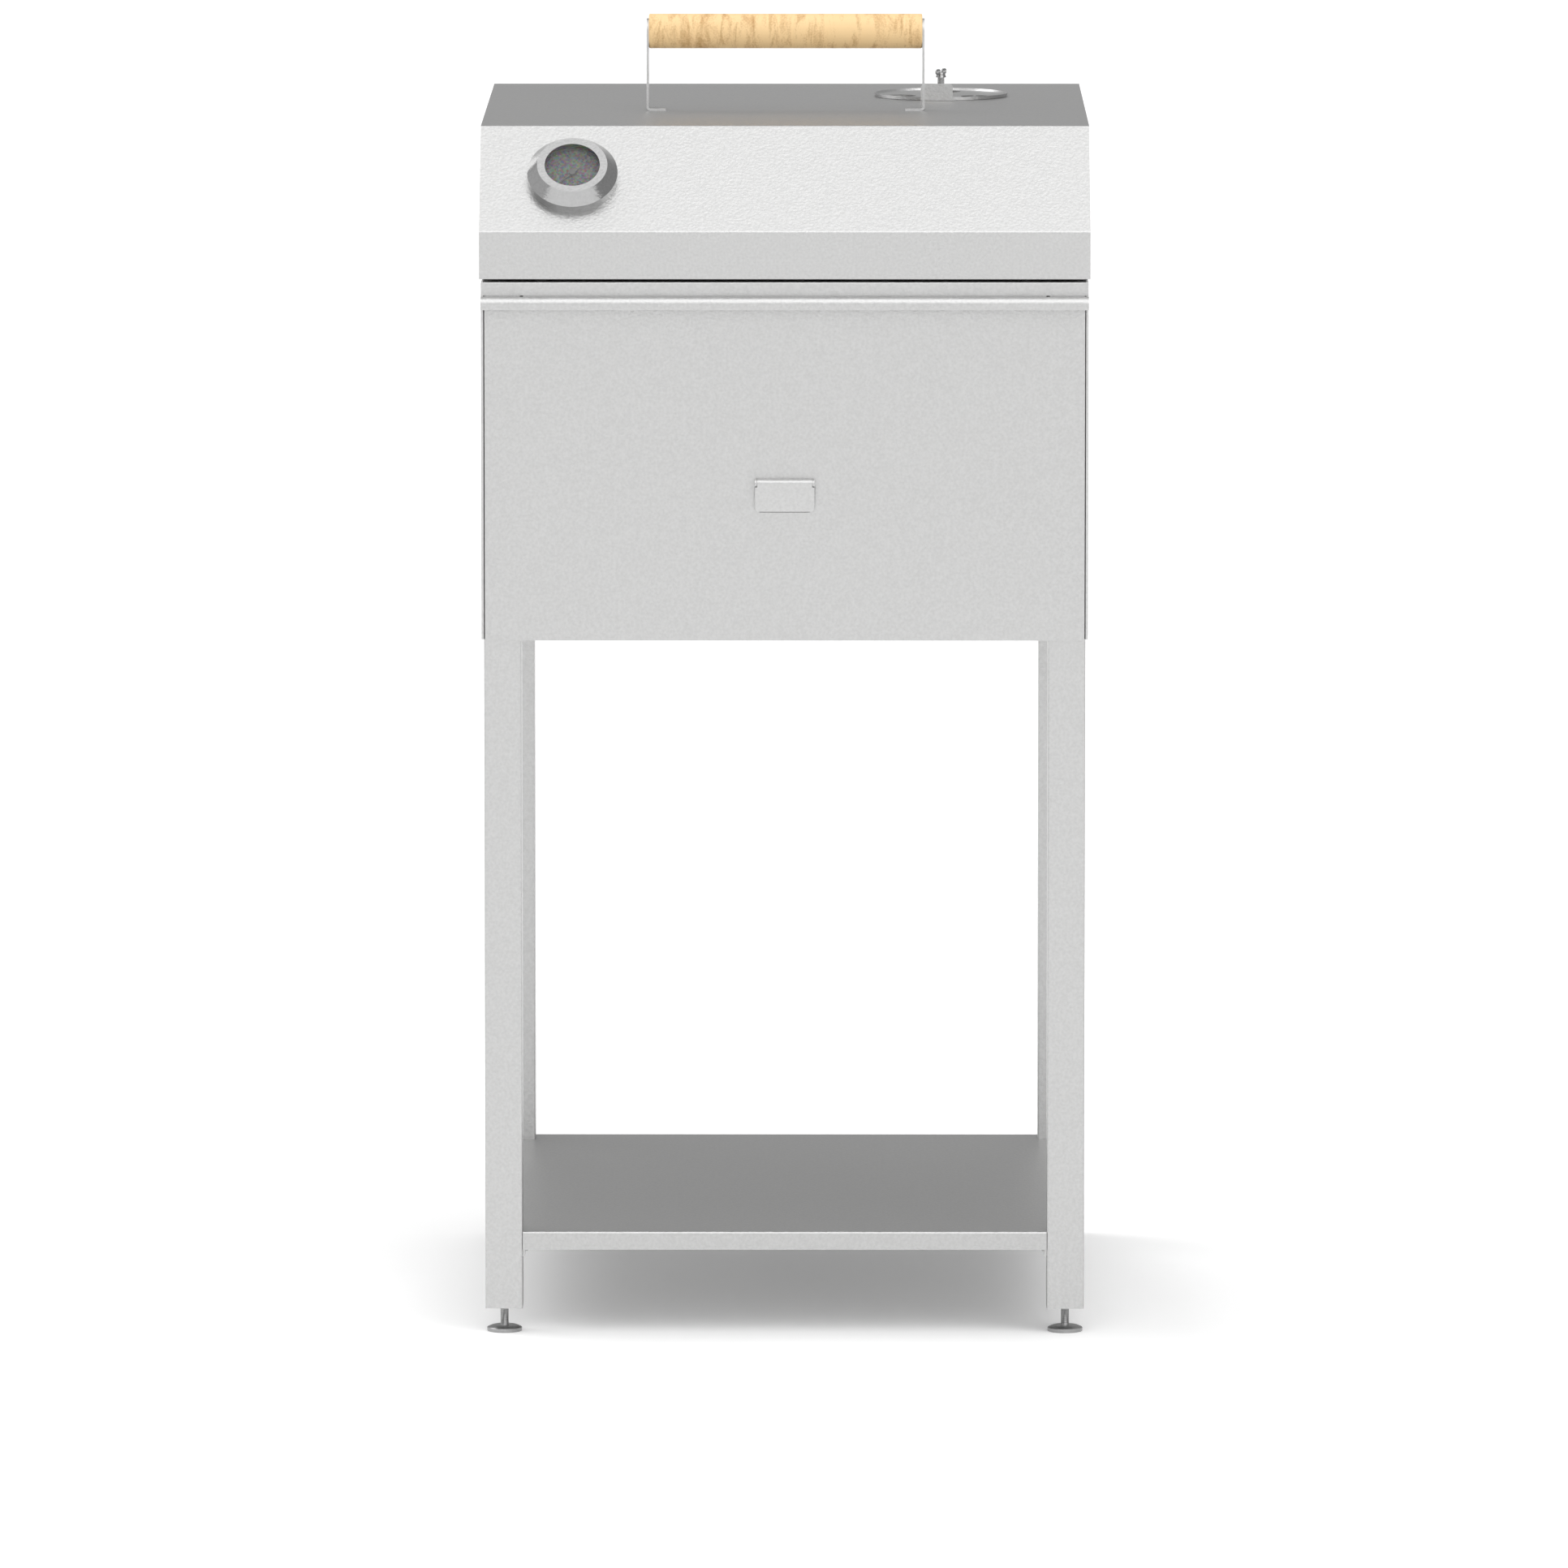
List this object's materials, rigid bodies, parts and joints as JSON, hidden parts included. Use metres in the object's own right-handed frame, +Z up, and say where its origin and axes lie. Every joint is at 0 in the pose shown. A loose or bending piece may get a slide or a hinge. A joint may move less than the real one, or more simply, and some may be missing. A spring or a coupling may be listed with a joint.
{
  "type": "charcoal grill outdoor kitchen",
  "caption": "Free-standing stainless charcoal grill with hinged hood, wooden handle, dial thermometer, rotary vent, pull-out charcoal drawer, open shelf and levelling feet.",
  "frame": {"origin": "on the floor under the middle of the grill", "axes": "+X to the right seen from the front, +Y to the back, +Z up"},
  "size_m": [0.52, 0.625, 1.1149],
  "materials": {
    "tube_steel": "satin stainless square tube",
    "plug_steel": "zinc-plated threaded plug",
    "foot_steel": "plated steel levelling foot",
    "shelf_steel": "satin stainless sheet",
    "sheet_steel": "fine blasted stainless sheet",
    "inner_steel": "plain stainless sheet, heat stained",
    "fastener_steel": "plain stainless fasteners",
    "hinge_steel": "satin stainless hinge",
    "pad_silicone": "black heat-proof silicone",
    "grip_wood": "oiled pale ash",
    "bezel_steel": "polished stainless case",
    "probe_steel": "drawn stainless probe",
    "dial_paint": "matt charcoal grey dial",
    "pointer_paint": "light grey pointer",
    "lens_glass": "clear flat glass",
    "grate_steel": "bright stainless bar",
    "charcoal_grate_steel": "heat-darkened steel bar"
  },
  "bodies": {
    "frame": {"leg_front_left": "tube_steel", "leg_front_right": "tube_steel", "leg_rear_left": "tube_steel", "leg_rear_right": "tube_steel", "leg_end_plugs": "plug_steel", "shelf": "shelf_steel", "shelf_brackets": "sheet_steel", "shelf_screws": "fastener_steel", "side_panel_left": "sheet_steel", "side_panel_right": "sheet_steel", "back_panel": "sheet_steel", "casing_floor": "sheet_steel", "front_rail": "sheet_steel", "casing_screws": "fastener_steel", "liner_left": "inner_steel", "liner_right": "inner_steel", "liner_front": "inner_steel", "liner_rear": "inner_steel", "drawer_runner_left": "inner_steel", "drawer_runner_right": "inner_steel", "hinge_leaves_casing": "hinge_steel", "hinge_pins": "fastener_steel", "hinge_screws_casing": "fastener_steel", "lid_rest_pads": "pad_silicone"},
    "lid": {"lid_skin": "sheet_steel", "lid_end_left": "sheet_steel", "lid_end_right": "sheet_steel", "hinge_leaves_lid": "hinge_steel", "hinge_screws_lid": "fastener_steel", "handle_arm_left": "sheet_steel", "handle_arm_right": "sheet_steel", "handle_grip": "grip_wood", "handle_core_rod": "fastener_steel", "handle_base_screws": "fastener_steel", "thermometer_case": "bezel_steel", "thermometer_dial": "dial_paint", "thermometer_lens": "lens_glass", "thermometer_stem": "probe_steel", "thermometer_nut": "fastener_steel", "damper_weld_nut": "fastener_steel"},
    "pointer": {"thermometer_pointer": "pointer_paint"},
    "damper": {"damper_disc": "sheet_steel"},
    "wing_screw": {"damper_wing_screw": "fastener_steel", "damper_flange_nut": "fastener_steel"},
    "drawer": {"drawer_front": "sheet_steel", "tray_pan": "inner_steel", "tray_front": "inner_steel", "tray_back": "inner_steel", "tray_studs": "fastener_steel", "tray_nuts": "fastener_steel", "charcoal_grate_tabs": "inner_steel", "flap_pin": "fastener_steel"},
    "charcoal_grate": {"charcoal_grate": "charcoal_grate_steel"},
    "port_flap": {"port_flap": "sheet_steel"},
    "grate_front": {"cooking_grate_front": "grate_steel"},
    "grate_rear": {"cooking_grate_rear": "grate_steel"},
    "foot_front_left": {"foot_front_left": "foot_steel"},
    "foot_front_right": {"foot_front_right": "foot_steel"},
    "foot_rear_left": {"foot_rear_left": "foot_steel"},
    "foot_rear_right": {"foot_rear_right": "foot_steel"}
  },
  "joints": [
    {"name": "lid_hinge", "type": "hinge", "parent": "frame", "child": "lid", "pos_m": [0, 0.3065, 0.9056], "axis": [-1, 0, 0], "range_deg": [0, 100]},
    {"name": "pointer_turn", "type": "hinge", "parent": "lid", "child": "pointer", "pos_m": [-0.181, -0.2578, 0.9892], "axis": [0, 0.7071, -0.7071], "range_deg": [0, 270]},
    {"name": "damper_turn", "type": "hinge", "parent": "lid", "child": "damper", "pos_m": [0.136, 0.142, 1.0316], "axis": [0, 0, 1], "continuous": true},
    {"name": "wing_screw_turn", "type": "hinge", "parent": "lid", "child": "wing_screw", "pos_m": [0.136, 0.142, 1.0316], "axis": [0, 0, 1], "range_deg": [-180, 180]},
    {"name": "drawer_slide", "type": "slide", "parent": "frame", "child": "drawer", "axis": [0, -1, 0], "range_m": [0, 0.4]},
    {"name": "flap_hinge", "type": "hinge", "parent": "drawer", "child": "port_flap", "pos_m": [0, -0.3037, 0.7327], "axis": [-1, 0, 0], "range_deg": [0, 110]},
    {"name": "charcoal_grate_lift", "type": "slide", "parent": "drawer", "child": "charcoal_grate", "axis": [0, 0, 1], "range_m": [0, 0.05]},
    {"name": "grate_front_lift", "type": "slide", "parent": "frame", "child": "grate_front", "axis": [0, 0, 1], "range_m": [0, 0.045]},
    {"name": "grate_rear_lift", "type": "slide", "parent": "frame", "child": "grate_rear", "axis": [0, 0, 1], "range_m": [0, 0.045]},
    {"name": "foot_front_left_level", "type": "slide", "parent": "frame", "child": "foot_front_left", "axis": [0, 0, -1], "range_m": [-0.01, 0.012]},
    {"name": "foot_front_right_level", "type": "slide", "parent": "frame", "child": "foot_front_right", "axis": [0, 0, -1], "range_m": [-0.01, 0.012]},
    {"name": "foot_rear_left_level", "type": "slide", "parent": "frame", "child": "foot_rear_left", "axis": [0, 0, -1], "range_m": [-0.01, 0.012]},
    {"name": "foot_rear_right_level", "type": "slide", "parent": "frame", "child": "foot_rear_right", "axis": [0, 0, -1], "range_m": [-0.01, 0.012]}
  ]
}
